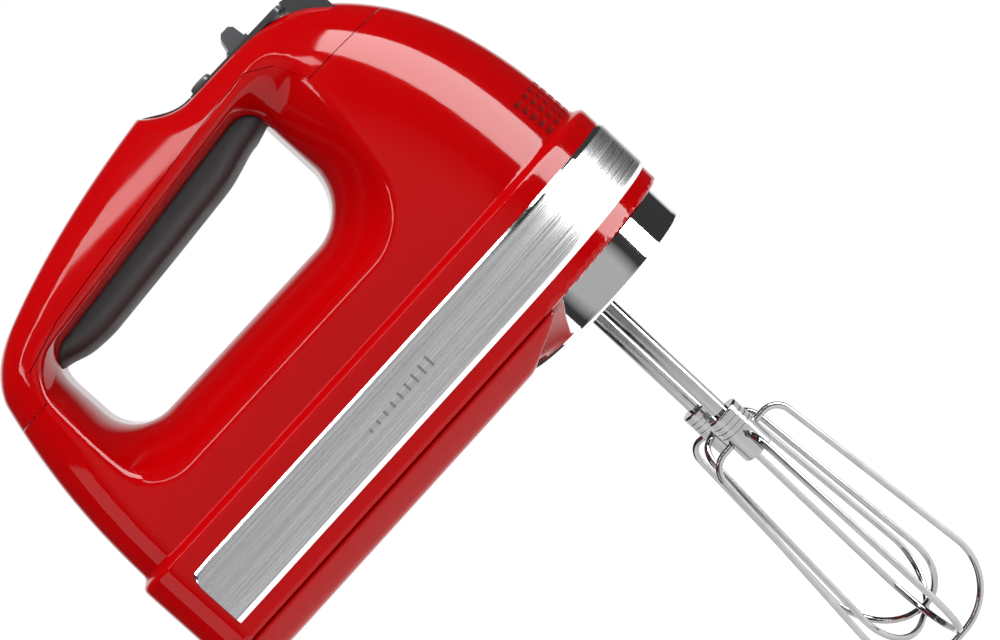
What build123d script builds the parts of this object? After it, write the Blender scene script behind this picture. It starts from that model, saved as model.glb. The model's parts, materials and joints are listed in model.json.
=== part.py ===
from build123d import *
import math
import os

os.makedirs("parts", exist_ok=True)

# Hand mixer, in millimetres.  It is drawn with x = 0 on the beater axes (+X towards the nose),
# y = 0 on its mid-plane and z = 0 under the chrome collar, then moved so that the centre of the
# hand grip is the origin.
GRIP_CENTRE = (-80.0, 0.0, 122.0)

# Body, as horizontal outlines: height, rear end, nose tip, half width.
SKIRT_BOTTOM = 13.0
SKIRT_TOP = 47.0
SKIRT = (SKIRT_BOTTOM, -161.5, 43.6, 44.5)
UPPER = (
    (40.0, -158.8, 40.0, 41.6),
    (78.0, -156.6, 37.6, 38.4),
    (105.0, -151.8, 29.4, 32.6),
    (128.0, -145.6, 13.0, 24.8),
    (152.0, -138.0, -22.0, 12.5),
)
WIDEST_X = -26.0
HEEL_CORNER = 16.0
WALL = 2.5

# Top line of the body in side view.
TOP_LINE = ((-150, 119), (-142, 125.8), (-128, 130.8), (-112, 136.1), (-96, 140.2), (-80, 143.3),
            (-66, 145.6), (-57, 146.7))
PANEL_Z = 138.5
PANEL_REAR_X = -42.0
PANEL_FRONT_X = 1.0
PANEL_HALF = 13.0

# Handle opening and the flared recess round it.
OPEN_REAR_X, OPEN_FRONT_X = -131.4, -30.4
OPEN_LOW_Z = 77.8
OPEN_TOP_REAR_Z, OPEN_TOP_FRONT_Z = 115.0, 124.5
OPEN_HALF_Y = 17.0
FLARE_Y = 46.0
FLARE_GROW = 18.0

# Seam between the two housings in side view.
SEAM_FRONT_Z = 115.0
SEAM_REAR_Z = 105.5

# Steel band.
BAND_LOW_Z, BAND_HIGH_Z = 19.0, 39.4
BAND_REAR_X = -147.5
BAND_PROUD, BAND_DEEP = 0.7, 0.9

# Vents, in rows through the nose and the heel: first height, step and number of rows.
NOSE_VENTS = (49.8, 3.15, 5)
HEEL_VENTS = (53.0, 3.2, 8)

# Case screws in their bosses, and the cord bush under the heel.
BOSSES = ((-58.0, 33.0), (-58.0, -33.0), (-128.0, 33.0), (-128.0, -33.0))
SCREW_R, SCREW_HEAD_R = 1.5, 3.0
GLAND_X, GLAND_R = -137.0, 7.0

# Collar and base.
COLLAR_X, COLLAR_A, COLLAR_B, COLLAR_TOP = 4.0, 36.0, 37.5, 13.0
BASE_LOW_Z = 3.2

# Drive line.
SHAFT_Y = 18.0
BEATER_SHAFT_R = 2.75
SOCKET_R = 2.8
SPINDLE_R = 5.0
RUNNING = 0.05
GEAR_TEETH = 40
GEAR_TIP_R = 14.2
GEAR_ROOT_R = 13.2
WORM_R = 3.6
WHEEL_HALF = 3.5
BEATER_TOP_Z = 46.0
PIN_TOP_Z = 74.0
SPRING_X, SPRING_LOW, SPRING_TOP = 5.0, 58.5, PIN_TOP_Z + 0.3
FRAME_REAR_X, FRAME_FRONT_X = -20.0, 22.0
FRAME_LOW_Z, FRAME_TOP_Z, FRAME_PLATE = 22.0, 58.0, 4.0

# Motor, along X from the rear bearing to the front one.
MOTOR_Z = 42.0
SHAFT_R, SHAFT_NOSE_R = 3.0, 2.5
SHAFT_REAR_X, SHAFT_STEP_X = -138.0, 12.0
STATOR_REAR_X, STATOR_FRONT_X = -106.0, -66.0
STATOR_BORE, ROTOR_R = 16.0, 15.4
BEARING_R, NOSE_BEARING_R = 8.0, 3.5
COMMUTATOR_REAR_X, COMMUTATOR_FRONT_X, COMMUTATOR_R = -126.0, -113.0, 8.5
BRUSH_X = -119.5
FAN_X, FAN_R = -50.0, 23.0

# Controls.
SWITCH_X, SWITCH_TRAVEL = -18.0, 5.0
SPEED_X, SPEED_Y, SPEED_R = -35.0, 6.5, 4.0
EJECT_X, BUTTON_FRONT_X = 5.0, 11.6

# Beaters.
HUB_R, HUB_TOP_Z, HUB_LOW_Z = 6.0, -51.7, -69.4
WIRE_R = 1.15
WIRE_EXIT_Z = -62.0
LOOP_ROOT_HALF = 15.2
OUTER_LOOP, INNER_LOOP = (24.2, -160.0), (22.8, -156.5)
LEFT_PHASE = 45


def save(shape, node):
    """Move a shape into the grip's frame and write it as one node."""
    moved = Pos(-GRIP_CENTRE[0], -GRIP_CENTRE[1], -GRIP_CENTRE[2]) * shape
    solids = moved.solids()
    whole = solids[0] if len(solids) == 1 else Compound(children=list(solids))
    whole.label = node
    export_step(whole, "parts/" + node + ".step")


def block(x0, x1, y0, y1, z0, z1):
    """A box given by its two corners."""
    middle = Pos((x0 + x1) / 2, (y0 + y1) / 2, (z0 + z1) / 2)
    return middle * Box(x1 - x0, y1 - y0, z1 - z0)


def post(x, y, z0, z1, radius, bore=0.0):
    """An upright cylinder, hollow if it has a bore."""
    solid = Pos(x, y, (z0 + z1) / 2) * Cylinder(radius, z1 - z0)
    if bore > 0:
        solid -= Pos(x, y, (z0 + z1) / 2) * Cylinder(bore, z1 - z0 + 2)
    return solid


def axle(x0, x1, y, z, radius, bore=0.0):
    """A cylinder along X, hollow if it has a bore."""
    place = Pos((x0 + x1) / 2, y, z) * Rot(0, 90, 0)
    solid = place * Cylinder(radius, x1 - x0)
    if bore > 0:
        solid -= place * Cylinder(bore, x1 - x0 + 2)
    return solid


def side_face(points):
    """A flat face in the mid-plane from straight-sided outline points (x, z)."""
    return make_face(Plane.XZ * Polyline(*points, close=True))


def through(face, half=60.0):
    """A mid-plane face pushed out to both sides."""
    return extrude(face, half, both=True)


# ---------------------------------------------------------------- body outlines
def outline(size, inset=0.0):
    """Closed outline of the body at one height: elliptical nose, straight sides, square heel."""
    height, rear, nose, half = size
    rear, nose, half = rear + inset, nose - inset, half - inset
    corner = min(HEEL_CORNER - inset, half - 1)
    front = EllipticalCenterArc((WIDEST_X, 0), nose - WIDEST_X, half, -90, arc_size=180)
    left = Line((WIDEST_X, half), (rear + corner, half))
    left_corner = RadiusArc((rear + corner, half), (rear, half - corner), -corner)
    heel = Line((rear, half - corner), (rear, corner - half))
    right_corner = RadiusArc((rear, corner - half), (rear + corner, -half), -corner)
    right = Line((rear + corner, -half), (WIDEST_X, -half))
    edges = Curve() + [front, left, left_corner, heel, right_corner, right]
    return Pos(0, 0, height) * Wire(edges.edges())


def skirt(inset=0.0, low=SKIRT_BOTTOM, high=SKIRT_TOP):
    """Lower body between two heights."""
    size = (low, *SKIRT[1:])
    return extrude(make_face(outline(size, inset)), high - low, dir=(0, 0, 1))


def top_cut(drop=0.0):
    """Everything under the body's top line in side view."""
    line = Spline(*[(x, z - drop) for x, z in TOP_LINE])
    peak_x, peak_z = TOP_LINE[-1]
    ramp = Spline((peak_x, peak_z - drop), (-48.5, 140.6 - drop), (PANEL_REAR_X, PANEL_Z - drop),
                  tangents=((0.75, -0.66), (1, 0)))
    rest = Polyline((PANEL_REAR_X, PANEL_Z - drop), (80, PANEL_Z - drop), (80, 0), (-170, 0),
                    (-170, TOP_LINE[0][1] - drop - 30), (TOP_LINE[0][0], TOP_LINE[0][1] - drop))
    return through(make_face(Plane.XZ * Wire([*line.edges(), *ramp.edges(), *rest.edges()])))


def upper(inset=0.0):
    """Upper body: sides that lean in, cut to the top line."""
    solid = Solid.make_loft([outline(size, inset) for size in UPPER])
    return solid & top_cut(inset)


def opening_wire(y, grow):
    """Outline of the handle opening on the plane at y, grown outwards."""
    rear, front, low = OPEN_REAR_X - grow * 0.45, OPEN_FRONT_X + grow * 0.8, OPEN_LOW_Z - grow * 0.9
    corners = ((rear, y, low), (front, y, low), (front, y, OPEN_TOP_FRONT_Z + grow * 0.35),
               (rear, y, OPEN_TOP_REAR_Z + grow * 0.25))
    path = FilletPolyline(*corners, radius=12 + grow * 0.2, close=True)
    return Wire(path.edges())


def handle_cut(inset=0.0):
    """The through opening with its flare on both sides, grown by the wall for the inside."""
    inner, edge = opening_wire(-OPEN_HALF_Y, inset), opening_wire(-FLARE_Y, FLARE_GROW + inset)
    core = Solid.make_loft([opening_wire(y, inset) for y in (-OPEN_HALF_Y - 1, OPEN_HALF_Y + 1)], True)
    flare = Solid.make_loft([inner, edge], True)
    return core + flare + mirror(flare, about=Plane.XZ)


def seam_region():
    """The part of space above the seam between the housings."""
    return through(side_face(((-190, SEAM_REAR_Z), (-138.5, SEAM_REAR_Z), (-136.5, 115), (-119, 120.5),
                              (-49, 129.5), (-24, 131.5), (-16.5, 125), (-15, SEAM_FRONT_Z),
                              (80, SEAM_FRONT_Z), (80, 190), (-190, 190))))


def band_groove():
    """Room for the steel band round the skirt."""
    ring = skirt(-3, BAND_LOW_Z, BAND_HIGH_Z) - skirt(BAND_DEEP, BAND_LOW_Z, BAND_HIGH_Z)
    return ring & block(BAND_REAR_X, 80, -60, 60, BAND_LOW_Z, BAND_HIGH_Z)


def vent_slots():
    """Short slots through the nose and long ones through the heel, above the shoulder."""
    slots = []
    first, step, rows = NOSE_VENTS
    for z in [first + step * row for row in range(rows)]:
        slots += [block(22, 60, y - 1.5, y + 1.5, z - 1.0, z + 1.0) for y in range(-22, 23, 4)]
    first, step, rows = HEEL_VENTS
    for z in [first + step * row for row in range(rows)]:
        slots.append(block(-170, -150, -16, 16, z - 0.9, z + 0.9))
    return slots


# ---------------------------------------------------------------- casings
def boss(x, y):
    """Block on the housing's side wall that takes a case screw."""
    near, far = sorted((math.copysign(29, y), math.copysign(43, y)))
    return block(x - 4, x + 4, near, far, 14, 30)


def hollow():
    """Space inside the casings, a wall's thickness inside the body and clear of the handle opening."""
    space = skirt(WALL, SKIRT_BOTTOM - 1, SKIRT_TOP - WALL)
    space -= [boss(x, y) for x, y in BOSSES]
    space += upper(WALL) & block(-200, 80, -60, 60, SKIRT_TOP - WALL - 0.5, 160)
    return space - handle_cut(WALL)


def casings():
    """Lower housing with the handle's loop, and the top cover over it."""
    outer = skirt() + upper() - handle_cut()
    shell = outer - hollow()
    above = seam_region()
    top = (shell & above) - panel_pocket()
    lower = shell - above
    lower -= band_groove()
    lower -= vent_slots()
    lower -= [post(x, y, 10, 26, SCREW_R) for x, y in BOSSES]
    save(lower, "lower_housing")
    save(top, "top_housing")


def panel_pocket():
    """Shallow pocket in the top cover for the control panel, open below for its switches."""
    pocket = block(PANEL_REAR_X + 1, PANEL_FRONT_X + 12, -PANEL_HALF, PANEL_HALF, PANEL_Z - 1.2, 160)
    window = block(PANEL_REAR_X + 2, BUTTON_FRONT_X + 0.3, -PANEL_HALF + 2, PANEL_HALF - 2, 118, 160)
    return pocket + window


def band():
    """Steel band round the skirt, ending near the heel on both sides."""
    ring = skirt(-BAND_PROUD, BAND_LOW_Z, BAND_HIGH_Z) - skirt(BAND_DEEP, BAND_LOW_Z, BAND_HIGH_Z)
    ring &= block(BAND_REAR_X, 80, -60, 60, BAND_LOW_Z, BAND_HIGH_Z)
    save(ring, "trim_band")


def base():
    """Tray that closes the body from below, open at the nose for the collar."""
    low = (BASE_LOW_Z, -156.0, 38.0, 38.5)
    high = (SKIRT_BOTTOM, -161.0, 42.4, 43.8)
    tray = Solid.make_loft([outline(low), outline(high)], True)
    tray -= block(-148, 22, -29, 29, BASE_LOW_Z + 2.4, 20)
    tray -= through(side_face(((-22, -5), (-9, SKIRT_BOTTOM), (80, SKIRT_BOTTOM), (80, -5))))
    front = extrude(make_face(outline(SKIRT, 9)), -2.0, dir=(0, 0, 1)) & block(-30, 80, -60, 60, 0, 40)
    tray += front
    tray -= collar_solid(0.3, -5, 40)
    tray -= [post(x, y, 0, 20, SCREW_R + 0.1) for x, y in BOSSES]
    tray -= [post(x, y, 0, 6.5, SCREW_HEAD_R + 0.2) for x, y in BOSSES]
    tray -= post(GLAND_X, 0, 0, 20, GLAND_R + 0.3)
    save(tray, "base_plate")


def collar_solid(grow, z0, z1):
    """Upright oval with the collar's outline."""
    face = Plane.XY.offset(z0) * Pos(COLLAR_X, 0) * Ellipse(COLLAR_A + grow, COLLAR_B + grow)
    return extrude(face, z1 - z0)


def collar():
    """Chrome collar with a rolled lower rim, and the dark plate with the two beater holes."""
    ring = collar_solid(0, 0, COLLAR_TOP) - collar_solid(-2.0, -1, COLLAR_TOP + 2)
    ring = fillet(ring.edges().filter_by_position(Axis.Z, -0.1, 0.1), 0.7)
    save(ring, "bottom_collar")
    plate = collar_solid(-2.0, 2.5, 5.0) - [post(0, y, 0, 10, 6.0) for y in (-SHAFT_Y, SHAFT_Y)]
    save(plate, "socket_plate")


def grip():
    """Soft grip under the handle, with a finger hook at its front end."""
    top = ((-129, 111.5), (-124, 115.2), (-80, 119.4), (-40, 123.2), (-31.5, 121.5))
    low = ((-31.5, 115.4), (-38, 116.2), (-44, 114.2), (-52, 112.4), (-80, 110), (-117, 107.6), (-127, 108.6))
    body = through(side_face((*top, *low)), 14.5)
    body -= handle_loop_clear()
    body = body.solids().sort_by(SortBy.VOLUME)[-1]
    save(body, "handle_grip")


def handle_loop_clear():
    """The lower housing's wall round the opening, which the grip lies against."""
    keep = Solid.make_loft([opening_wire(-40, 0), opening_wire(40, 0)], True)
    return block(-200, 80, -50, 50, 60, 160) - keep


# ---------------------------------------------------------------- controls
def controls():
    """Panel, display lens, circuit board, power slide, speed buttons and ejector."""
    z = PANEL_Z
    half = PANEL_HALF - 0.3
    panel = block(PANEL_REAR_X + 1.3, PANEL_FRONT_X - 1.5, -half, half, z - 1.2, z + 0.6)
    panel = fillet(panel.edges().filter_by(Axis.Z), 3)
    panel -= block(SWITCH_X - 3, SWITCH_X + 3 + SWITCH_TRAVEL, -2.5, 2.5, z - 3, z + 3)
    panel -= [post(SPEED_X, y, z - 3, z + 3, SPEED_R + 0.3) for y in (-SPEED_Y, SPEED_Y)]
    panel -= block(-8.1, -1.6, -8, 8, z - 0.4, z + 3)
    save(panel, "control_panel")
    save(block(-8.0, -1.7, -7.9, 7.9, z - 0.4, z + 0.5), "display_lens")
    board = block(-39, -3, -10, 10, 130.0, 131.6)
    save(board, "circuit_board")
    slide = block(SWITCH_X - 4.5, SWITCH_X + 4.5, -7, 7, z + 0.8, z + 2.2)
    tab = through(side_face(((SWITCH_X - 3.6, z + 1), (SWITCH_X - 2.2, 145.2), (SWITCH_X - 1, 146.3),
                             (SWITCH_X + 2.2, 146.3), (SWITCH_X + 3.4, 145), (SWITCH_X + 4, z + 1))), 5.5)
    foot = block(SWITCH_X - 2, SWITCH_X + 2, -2.2, 2.2, 132.2, z + 1)
    save(slide + tab + foot, "power_switch")
    for side, y in (("up", SPEED_Y), ("down", -SPEED_Y)):
        button = post(SPEED_X, y, z - 4.5, z + 2.4, SPEED_R)
        button = fillet(button.edges().sort_by(Axis.Z)[-1], 0.8)
        button += post(SPEED_X, y, 133.2, z - 4, 1.6)
        save(button, "speed_" + side + "_button")


def coil_spring(pitch, height, radius, wire_radius):
    """Helical spring standing on the origin."""
    path = Helix(pitch=pitch, height=height, radius=radius)
    start = Plane(origin=path @ 0, z_dir=path % 0)
    return sweep(start * Circle(wire_radius), path=path)


def ejector():
    """Eject button at the front of the top, its stem, yoke, return spring and two push pins."""
    z = PANEL_Z
    rear = PANEL_FRONT_X - 0.7
    profile = side_face(((rear, z - 4), (rear, z + 0.8), (3.5, z + 0.2), (7.5, z - 3.2),
                         (BUTTON_FRONT_X, z - 8.6), (BUTTON_FRONT_X, z - 13), (8, z - 13)))
    button = through(profile, PANEL_HALF - 2.4)
    stem = block(EJECT_X - 3, EJECT_X + 3, -4, 4, PIN_TOP_Z + 3.0, z - 3)
    save(button + stem, "eject_button")
    yoke = block(-7, EJECT_X + 5, -SHAFT_Y - 7, SHAFT_Y + 7, PIN_TOP_Z + 0.3, PIN_TOP_Z + 3.0)
    yoke = fillet(yoke.edges().filter_by(Axis.Z), 4)
    save(yoke, "eject_yoke")
    spring = coil_spring(3.0, SPRING_TOP - SPRING_LOW - 1.2, 4.2, 0.5)
    save(Pos(SPRING_X, 0, SPRING_LOW + 0.6) * spring, "eject_spring")
    for side, y in (("left", SHAFT_Y), ("right", -SHAFT_Y)):
        pin = post(0, y, BEATER_TOP_Z + 0.2, PIN_TOP_Z - 1, BEATER_SHAFT_R)
        pin += post(0, y, PIN_TOP_Z - 2, PIN_TOP_Z, 4.2)
        save(pin, "eject_pin_" + side)


# ---------------------------------------------------------------- gearbox and motor
def gearbox():
    """Frame that holds the spindles and the worm, and its bushes."""
    rear, front, low, top = FRAME_REAR_X, FRAME_FRONT_X, FRAME_LOW_Z, FRAME_TOP_Z
    frame = block(rear, front, -35, 35, low, low + FRAME_PLATE)
    frame += block(rear, front, -35, 35, top - FRAME_PLATE, top)
    frame += block(rear, rear + FRAME_PLATE, -35, 35, low, top)
    frame += block(front - 5, front, -6, 6, low, top)
    frame &= skirt(WALL + 5.5, low - 2, top + 2)
    frame -= [post(0, y, low - 2, top + 2, SPINDLE_R + 2.5) for y in (-SHAFT_Y, SHAFT_Y)]
    frame -= axle(rear - 10, rear + 10, 0, MOTOR_Z, BEARING_R)
    frame -= axle(front - 6, front - 1.5, 0, MOTOR_Z, NOSE_BEARING_R)
    save(frame, "gearbox_frame")
    bushes = [post(0, y, z, z + FRAME_PLATE, SPINDLE_R + 2.5, SPINDLE_R + RUNNING)
              for y in (-SHAFT_Y, SHAFT_Y) for z in (low, top - FRAME_PLATE)]
    save(Compound(children=bushes), "spindle_bushes")
    bearings = [axle(x, x + 4, 0, MOTOR_Z, BEARING_R, SHAFT_R + RUNNING) for x in (rear, -136)]
    bearings.append(axle(front - 5, front - 1.5, 0, MOTOR_Z, NOSE_BEARING_R, SHAFT_NOSE_R + RUNNING))
    save(Compound(children=bearings), "shaft_bearings")


def spindles():
    """Two hollow spindles, each with its worm wheel."""
    for side, y in (("left", SHAFT_Y), ("right", -SHAFT_Y)):
        tube = post(0, y, 2.0, 62.0, SPINDLE_R, SOCKET_R)
        save(tube, "spindle_" + side)
        wheel = post(0, y, MOTOR_Z - WHEEL_HALF, MOTOR_Z + WHEEL_HALF, GEAR_TIP_R, SPINDLE_R)
        depth = GEAR_TIP_R - GEAR_ROOT_R
        gap = Box(2 * depth, math.pi * GEAR_TIP_R / GEAR_TEETH, 2 * WHEEL_HALF + 1)
        turns = [Rot(0, 0, 360 * i / GEAR_TEETH) for i in range(GEAR_TEETH)]
        gaps = [Pos(0, y, MOTOR_Z) * turn * Pos(GEAR_TIP_R, 0, 0) * gap for turn in turns]
        save(wheel - gaps, "worm_wheel_" + side)


def motor():
    """Motor: stator with its coils, armature, commutator, fan and worm, and its rear bracket."""
    stator()
    armature()
    brush_gear()
    bracket = block(-138, -130, -26, 26, MOTOR_Z - 12, MOTOR_Z + 12)
    bracket -= axle(-140, -125, 0, MOTOR_Z, BEARING_R)
    save(bracket, "rear_bracket")


def stator():
    """Lamination stack with its bore and slots, and the four coil ends that stand out of it."""
    core = block(STATOR_REAR_X, STATOR_FRONT_X, -28, 28, MOTOR_Z - 22, MOTOR_Z + 22)
    core = fillet(core.edges().filter_by(Axis.X), 8)
    core -= axle(-110, -60, 0, MOTOR_Z, STATOR_BORE)
    core -= [block(-110, -60, y - 4.5, y + 4.5, MOTOR_Z - 12, MOTOR_Z + 12) for y in (-18.5, 18.5)]
    save(core, "stator_core")
    coils = [block(x, x + 6, s * 20 - 5, s * 20 + 5, MOTOR_Z - 15, MOTOR_Z + 15) for s in (-1, 1)
             for x in (STATOR_REAR_X - 6, STATOR_FRONT_X)]
    coils = [fillet(c.edges().filter_by(Axis.X), 3) for c in coils]
    save(Compound(children=coils), "field_coils")


def armature():
    """Everything that turns on the motor's shaft."""
    shaft = axle(SHAFT_REAR_X, SHAFT_STEP_X, 0, MOTOR_Z, SHAFT_R)
    shaft += axle(SHAFT_STEP_X, 20, 0, MOTOR_Z, SHAFT_NOSE_R)
    save(shaft, "armature_shaft")
    rotor = axle(STATOR_REAR_X + 2, STATOR_FRONT_X - 2, 0, MOTOR_Z, ROTOR_R, SHAFT_R)
    rotor -= ring_of(12, -86, 13.4, Box(40, 2.0, 4.6))
    save(rotor, "armature_core")
    ends = [axle(x, x + 7, 0, MOTOR_Z, 12.0, SHAFT_R) for x in (STATOR_REAR_X - 5, STATOR_FRONT_X - 2)]
    save(Compound(children=ends), "armature_windings")
    bars = axle(COMMUTATOR_REAR_X, COMMUTATOR_FRONT_X, 0, MOTOR_Z, COMMUTATOR_R, SHAFT_R)
    bars -= ring_of(24, BRUSH_X, COMMUTATOR_R, Box(16, 0.5, 1.4))
    save(bars, "commutator")
    fan = axle(FAN_X - 4, FAN_X + 6, 0, MOTOR_Z, 6.0, SHAFT_R)
    fan += axle(FAN_X + 4, FAN_X + 6, 0, MOTOR_Z, FAN_R, SHAFT_R)
    fan += ring_of(14, FAN_X, 14, Box(9, 1.2, 17.5))
    save(fan, "cooling_fan")
    worm = axle(-13, SHAFT_STEP_X, 0, MOTOR_Z, WORM_R, SHAFT_R)
    save(worm, "drive_worm")


def ring_of(count, x, radius, shape):
    """Copies of a shape, evenly round the motor's axis."""
    return [Pos(x, 0, MOTOR_Z) * Rot(360 * i / count, 0, 0) * Pos(0, 0, radius) * shape for i in range(count)]


def brush_gear():
    """Two carbon brushes with their holders and springs."""
    save(Compound(children=[brush(s, 8.8, 17, 2.5, 3.5) for s in (-1, 1)]), "carbon_brushes")
    holders = [brush(s, 11, 25, 4, 5) - brush(s, 8, 30, 2.7, 3.7) for s in (-1, 1)]
    save(Compound(children=holders), "brush_holders")
    spring = coil_spring(1.4, 7.0, 1.9, 0.3)
    springs = [Pos(BRUSH_X, s * 17.4, MOTOR_Z) * Rot(-90 * s, 0, 0) * spring for s in (-1, 1)]
    save(Compound(children=springs), "brush_springs")


def brush(side, y0, y1, half_x, half_z):
    """A block beside the commutator, from y0 to y1 outwards."""
    near, far = sorted((side * y0, side * y1))
    return block(BRUSH_X - half_x, BRUSH_X + half_x, near, far, MOTOR_Z - half_z, MOTOR_Z + half_z)


def gland():
    """Swivelling bush under the heel, where a mains lead would leave."""
    bush = post(GLAND_X, 0, 1.0, 9.0, GLAND_R, 3.6) + post(GLAND_X, 0, 7.0, 9.0, GLAND_R + 2, 3.6)
    save(bush, "cord_gland")


def screws():
    """Case screws, driven up through the base plate into the housing's bosses."""
    made = [post(x, y, 4.4, 6.4, SCREW_HEAD_R) + post(x, y, 6, 24, SCREW_R) for x, y in BOSSES]
    made = [s - Pos(s.center().X, s.center().Y, 4.4) * Box(4.4, 0.8, 1.6) for s in made]
    save(Compound(children=made), "case_screws")


# ---------------------------------------------------------------- beaters
def beater_loop(half_low, low_z):
    """One wire bent into a loop in the XZ plane, from hub wall to hub wall."""
    right = ((HUB_R - 2.5, WIRE_EXIT_Z), (LOOP_ROOT_HALF, WIRE_EXIT_Z), (half_low, low_z))
    points = [(x, 0, z) for x, z in right] + [(-x, 0, z) for x, z in reversed(right)]
    path = FilletPolyline(*points, radius=(6.5, 20.0, 20.0, 6.5))
    end = Plane(origin=path @ 0, z_dir=path % 0)
    return sweep(end * Circle(WIRE_R), path=Wire(path.edges()))


def beaters():
    """Two wire beaters, set an eighth of a turn apart so that their cages interleave."""
    for side, y, phase in (("left", SHAFT_Y, LEFT_PHASE), ("right", -SHAFT_Y, 0)):
        place = Pos(0, y, 0) * Rot(0, 0, phase)
        outer = place * beater_loop(*OUTER_LOOP)
        inner = place * Rot(0, 0, 90) * beater_loop(*INNER_LOOP)
        save(outer, "outer_wire_" + side)
        save(inner, "inner_wire_" + side)
        hub = post(0, y, HUB_LOW_Z, HUB_TOP_Z, HUB_R)
        hub = fillet(hub.edges(), 0.8)
        for i in range(3):
            z = HUB_TOP_Z - 3.0 - 2.0 * i
            hub -= post(0, y, z - 0.3, z + 0.3, HUB_R + 1, HUB_R - 0.4)
        hub -= [outer, inner]
        hub -= post(0, y, HUB_TOP_Z - 9, HUB_TOP_Z + 5, BEATER_SHAFT_R)
        save(hub, "beater_hub_" + side)
        shaft = post(0, y, HUB_TOP_Z - 9, BEATER_TOP_Z, BEATER_SHAFT_R)
        shaft = chamfer(shaft.edges().sort_by(Axis.Z)[-1], 0.8)
        save(shaft, "beater_shaft_" + side)


casings()
band()
base()
collar()
grip()
controls()
ejector()
gearbox()
spindles()
motor()
gland()
screws()
beaters()
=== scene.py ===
import itertools
import json
import math
import bmesh
import bpy
import numpy as np
from mathutils import Matrix, Vector


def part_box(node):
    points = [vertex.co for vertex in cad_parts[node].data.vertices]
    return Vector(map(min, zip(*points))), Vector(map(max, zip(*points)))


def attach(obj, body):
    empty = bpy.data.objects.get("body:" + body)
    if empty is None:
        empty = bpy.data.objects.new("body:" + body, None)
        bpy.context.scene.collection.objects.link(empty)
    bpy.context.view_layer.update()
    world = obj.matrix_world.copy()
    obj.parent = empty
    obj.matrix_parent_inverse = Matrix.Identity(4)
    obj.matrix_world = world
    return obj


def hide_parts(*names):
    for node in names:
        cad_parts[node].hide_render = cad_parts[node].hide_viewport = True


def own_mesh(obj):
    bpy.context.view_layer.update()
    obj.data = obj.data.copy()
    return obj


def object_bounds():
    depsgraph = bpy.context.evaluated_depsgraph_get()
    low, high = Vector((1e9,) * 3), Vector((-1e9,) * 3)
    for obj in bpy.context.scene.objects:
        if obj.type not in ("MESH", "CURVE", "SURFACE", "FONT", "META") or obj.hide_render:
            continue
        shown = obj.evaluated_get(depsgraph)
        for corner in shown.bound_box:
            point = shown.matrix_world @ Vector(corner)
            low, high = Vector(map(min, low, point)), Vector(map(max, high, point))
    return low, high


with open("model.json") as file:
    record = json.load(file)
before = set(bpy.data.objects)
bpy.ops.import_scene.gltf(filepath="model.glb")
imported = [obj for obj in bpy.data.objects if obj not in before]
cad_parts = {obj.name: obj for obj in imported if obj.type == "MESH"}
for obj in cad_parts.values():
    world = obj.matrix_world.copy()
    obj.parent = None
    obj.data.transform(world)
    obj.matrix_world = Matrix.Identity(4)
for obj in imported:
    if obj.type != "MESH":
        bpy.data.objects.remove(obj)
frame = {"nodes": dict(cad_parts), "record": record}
cad_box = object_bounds()

# The drawing's own coordinates are millimetres with x = 0 on the beater axes, y = 0 on the
# mid-plane and z = 0 under the collar.  The frame's origin is the centre of the grip.
GRIP = np.array((-80.0, 0.0, 122.0))
MM = 0.001

# The skirt's outline: rear end, nose tip, half width.
SKIRT_LOW, SKIRT_HIGH = 13.0, 47.0
SKIRT = (-161.5, 43.6, 44.5)
# The upper body's outlines: height, rear end, nose tip, half width.
UPPER = np.array((
    (40.0, -158.8, 40.0, 41.6),
    (78.0, -156.6, 37.6, 38.4),
    (105.0, -151.8, 29.4, 32.6),
    (128.0, -145.6, 13.0, 24.8),
    (152.0, -138.0, -22.0, 12.5),
))
# Where the rounding of the nose starts, the radius of the heel's corners, and the wall.
WIDEST_X = -26.0
HEEL_CORNER = 16.0
WALL = 2.3
# Edges that turn by more than these degrees are shaded sharp.
SHARP_EDGE, BAND_SHARP, COLLAR_SHARP = 38, 14, 50

# Round edges of the body: along the top, along the skirt, where they meet, round the hole.
TOP_ROUND, SKIRT_ROUND, SKIRT_FILLET, HOLE_ROUND = 8.0, 2.4, 1.8, 2.2

# The body's top line, the drop from its peak down to the control panel, and the panel's height.
TOP_X = (-150, -142, -128, -112, -96, -80, -66, -57)
TOP_Z = (121.8, 125.8, 130.8, 136.1, 140.2, 143.3, 145.6, 146.7)
PEAK_X, PANEL_REAR_X = -57.0, -42.0
PANEL_Z = 138.5

# The hand opening on the mid-plane, and the ring that it flares out to at the sides.  Top
# heights are at the rear and at the front; the ring's front edge leans.
OPEN_REAR_X, OPEN_FRONT_X, OPEN_LOW_Z = -131.4, -30.4, 77.8
OPEN_TOP_Z = (115.0, 124.5)
LOW_ROUNDS, HIGH_ROUND = (14.0, 19.0), 9.0
RING_REAR_X, RING_FRONT_X, RING_LOW_Z = -138.0, -20.5, 63.0
RING_TOP_Z = (116.0, 128.0)
RING_LEAN, RING_HIGH_ROUND = 0.22, 13.0
FLARE_FROM, FLARE_POWER = 9.0, 1.7

# The seam between the casings, and the underside of the grip.
SEAM_X = (-139.0, -136.5, -119.0, -49.0, -25.0, -17.0, -12.5)
SEAM_Z = (105.5, 115.5, 120.5, 129.0, 131.0, 126.0, 115.0)
SEAM_GAP = 0.26
GRIP_X = (-128.0, -122.0, -112.0, -80.0, -52.0, -44.0, -38.0, -34.0, -31.0)
GRIP_LOW = (110.5, 107.6, 106.6, 108.8, 111.0, 113.0, 114.6, 114.2, 116.5)
GRIP_HALF, GRIP_CROWN, GRIP_ROUND = 14.5, 3.2, 4.0

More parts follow.
